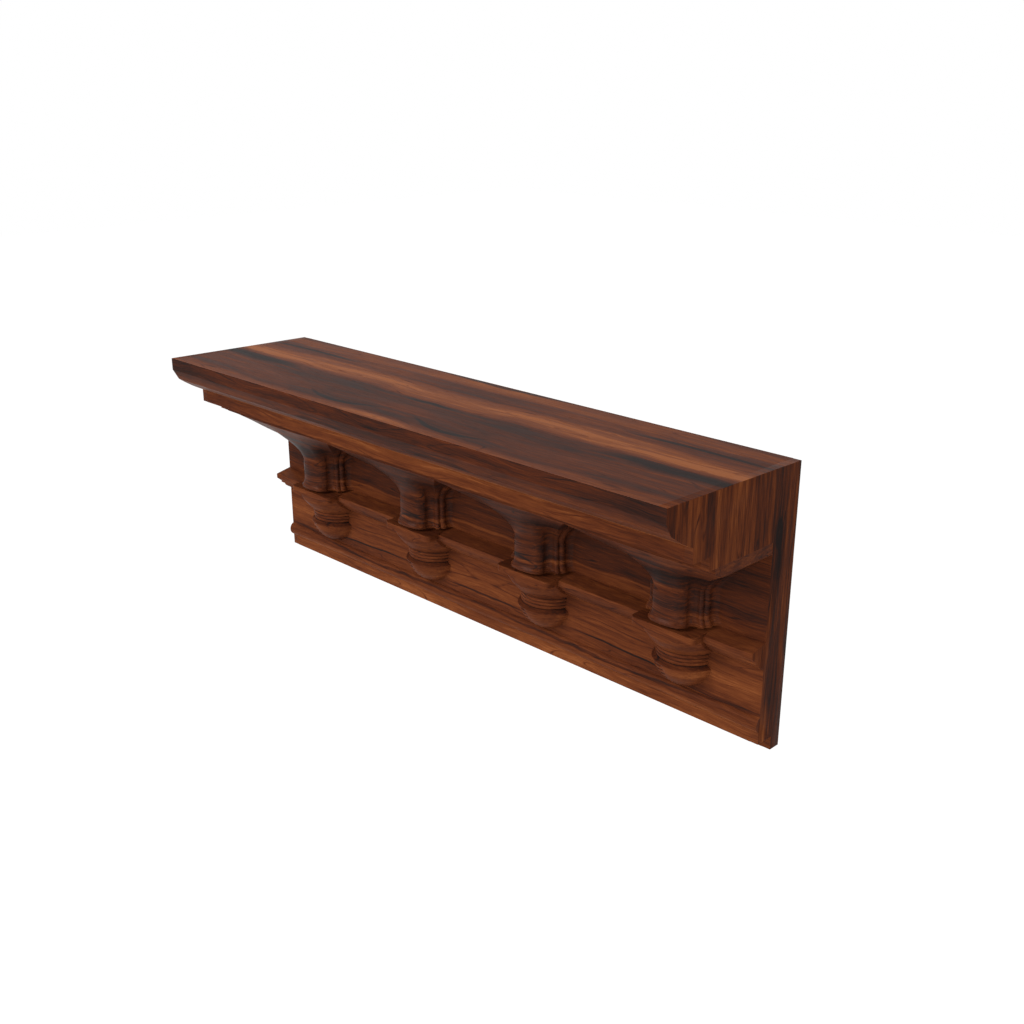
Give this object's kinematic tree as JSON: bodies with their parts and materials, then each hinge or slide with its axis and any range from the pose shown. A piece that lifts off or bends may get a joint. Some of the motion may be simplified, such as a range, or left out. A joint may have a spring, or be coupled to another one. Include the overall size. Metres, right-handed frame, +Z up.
{
  "type": "wall shelf",
  "caption": "Wall shelf with a deep raked top on a stepped cornice, carried by half-round piers that flare into vault fans in front of a blind arcade.",
  "frame": {"origin": "on the wall plane, midway between the two hanging bores and at their height", "axes": "+X along the wall, -Y out of the wall into the room, +Z up"},
  "size_m": [1, 0.259, 0.3936],
  "materials": {
    "walnut": "satin",
    "carcass_wood": "raw",
    "beech": "raw",
    "steel": "zinc plated"
  },
  "bodies": {
    "root": {"arcade_panel": "walnut", "back_board": "walnut", "back_screws": "steel", "bearer_left": "carcass_wood", "bearer_middle": "carcass_wood", "bearer_right": "carcass_wood", "ceiling_board": "walnut", "corbel_1": "walnut", "corbel_2": "walnut", "corbel_3": "walnut", "corbel_4": "walnut", "cornice_board": "walnut", "crown_moulding": "walnut", "end_board_left": "walnut", "end_board_right": "walnut", "end_dowels_left": "beech", "end_dowels_right": "beech", "fan_1": "walnut", "fan_2": "walnut", "fan_3": "walnut", "fan_4": "walnut", "fan_screws": "steel", "foot_bead": "walnut", "frieze_panel": "walnut", "panel_tongue": "beech", "pier_base_1": "walnut", "pier_base_2": "walnut", "pier_base_3": "walnut", "pier_base_4": "walnut", "pier_block_1": "walnut", "pier_block_2": "walnut", "pier_block_3": "walnut", "pier_block_4": "walnut", "rear_cleat": "carcass_wood", "shaft_1": "walnut", "shaft_2": "walnut", "shaft_3": "walnut", "shaft_4": "walnut", "string_course": "walnut", "top_board": "walnut", "top_dowels": "beech"}
  },
  "joints": []
}
